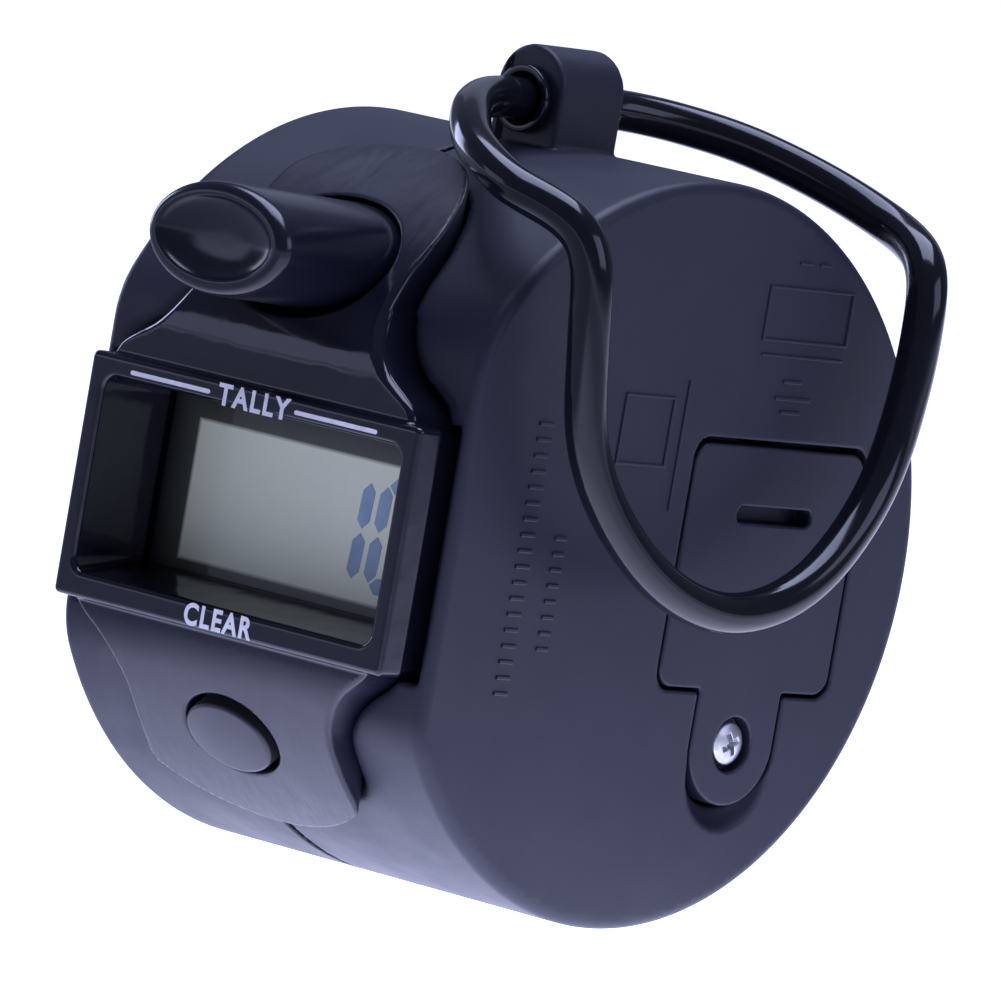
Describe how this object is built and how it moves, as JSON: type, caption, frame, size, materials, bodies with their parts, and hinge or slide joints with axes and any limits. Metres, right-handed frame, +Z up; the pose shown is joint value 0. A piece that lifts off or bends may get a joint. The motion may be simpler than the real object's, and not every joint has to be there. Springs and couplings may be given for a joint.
{
  "type": "hand tally counter",
  "caption": "Palm-held electronic counter: round body with a hooded display, a plunger to count, a small reset key, a side battery hatch and a folding finger ring.",
  "frame": {"origin": "middle of the bounding box at its lowest level, straight under the middle of the box", "axes": "+X along the axis of the round body, out of the side with the battery cover; -Y towards the user, out of the display; +Z up, towards the ring's lug"},
  "size_m": [0.0346, 0.049, 0.0497],
  "materials": {
    "shell_left": "fine moulded grain, matte",
    "shell_right": "fine moulded grain, matte",
    "front_panel": "gloss black round the hood, satin lower down",
    "lcd_glass": "grey-green liquid crystal display glass",
    "lcd_reflector": "satin foil",
    "lcd_holder": "moulded",
    "zebra_strip_top": "conductive rubber",
    "zebra_strip_bottom": "conductive rubber",
    "circuit_board": "green solder mask",
    "board_screw_1": "zinc plated",
    "board_screw_2": "zinc plated",
    "board_screw_3": "zinc plated",
    "board_screw_4": "zinc plated",
    "chip_blob": "epoxy resin",
    "capacitor": "sleeved can",
    "resistor": "chip resistor",
    "timing_crystal": "can",
    "count_button": "gloss black",
    "count_spring_left": "spring wire",
    "count_spring_right": "spring wire",
    "count_switch_body": "moulded",
    "count_switch_stem": "moulded",
    "reset_button": "satin black",
    "reset_dome": "conductive rubber dome",
    "battery_cover": "fine moulded grain, matte",
    "battery_screw": "bright plated",
    "screw_insert": "turned",
    "button_cell": "plated can",
    "cell_contact_negative": "plated strip",
    "cell_contact_positive": "plated strip",
    "wire_negative": "insulated wire",
    "wire_positive": "insulated wire",
    "finger_ring": "gloss black coated wire",
    "ring_collar_front": "gloss black",
    "ring_collar_rear": "gloss black",
    "shell_screw_1": "zinc plated",
    "shell_screw_2": "zinc plated",
    "shell_screw_3": "zinc plated"
  },
  "bodies": {
    "body": {"left_shell": "shell_left", "right_shell": "shell_right", "front_panel": "front_panel", "lcd_glass": "lcd_glass", "lcd_reflector": "lcd_reflector", "lcd_holder": "lcd_holder", "zebra_strip_top": "zebra_strip_top", "zebra_strip_bottom": "zebra_strip_bottom", "circuit_board": "circuit_board", "board_screw_1": "board_screw_1", "board_screw_2": "board_screw_2", "board_screw_3": "board_screw_3", "board_screw_4": "board_screw_4", "chip_blob": "chip_blob", "capacitor": "capacitor", "resistor": "resistor", "timing_crystal": "timing_crystal", "count_spring_left": "count_spring_left", "count_spring_right": "count_spring_right", "count_switch_body": "count_switch_body", "count_switch_stem": "count_switch_stem", "reset_dome": "reset_dome", "screw_insert": "screw_insert", "button_cell": "button_cell", "cell_contact_negative": "cell_contact_negative", "cell_contact_positive": "cell_contact_positive", "wire_negative": "wire_negative", "wire_positive": "wire_positive", "ring_collar_front": "ring_collar_front", "ring_collar_rear": "ring_collar_rear", "shell_screw_1": "shell_screw_1", "shell_screw_2": "shell_screw_2", "shell_screw_3": "shell_screw_3"},
    "count_plunger": {"count_button": "count_button"},
    "reset_key": {"reset_button": "reset_button"},
    "ring": {"finger_ring": "finger_ring"},
    "cover": {"battery_cover": "battery_cover", "battery_screw": "battery_screw"}
  },
  "joints": [
    {"name": "count_press", "type": "slide", "parent": "body", "child": "count_plunger", "axis": [0, 0.9962, -0.0872], "range_m": [0, 0.002], "stiffness_N_per_m": 900, "springref_m": -0.0015, "deforming": ["count_spring_left", "count_spring_right"]},
    {"name": "reset_press", "type": "slide", "parent": "body", "child": "reset_key", "axis": [0, 0.7944, 0.6074], "range_m": [0, 0.0007], "stiffness_N_per_m": 1200, "springref_m": -0.0008},
    {"name": "ring_swing", "type": "hinge", "parent": "body", "child": "ring", "pos_m": [-0.0032, 0.00253, 0.04643], "axis": [0, -1, 0], "range_deg": [0, 225]},
    {"name": "cover_removal", "type": "slide", "parent": "body", "child": "cover", "axis": [1, 0, 0], "range_m": [0, 0.0024]}
  ]
}
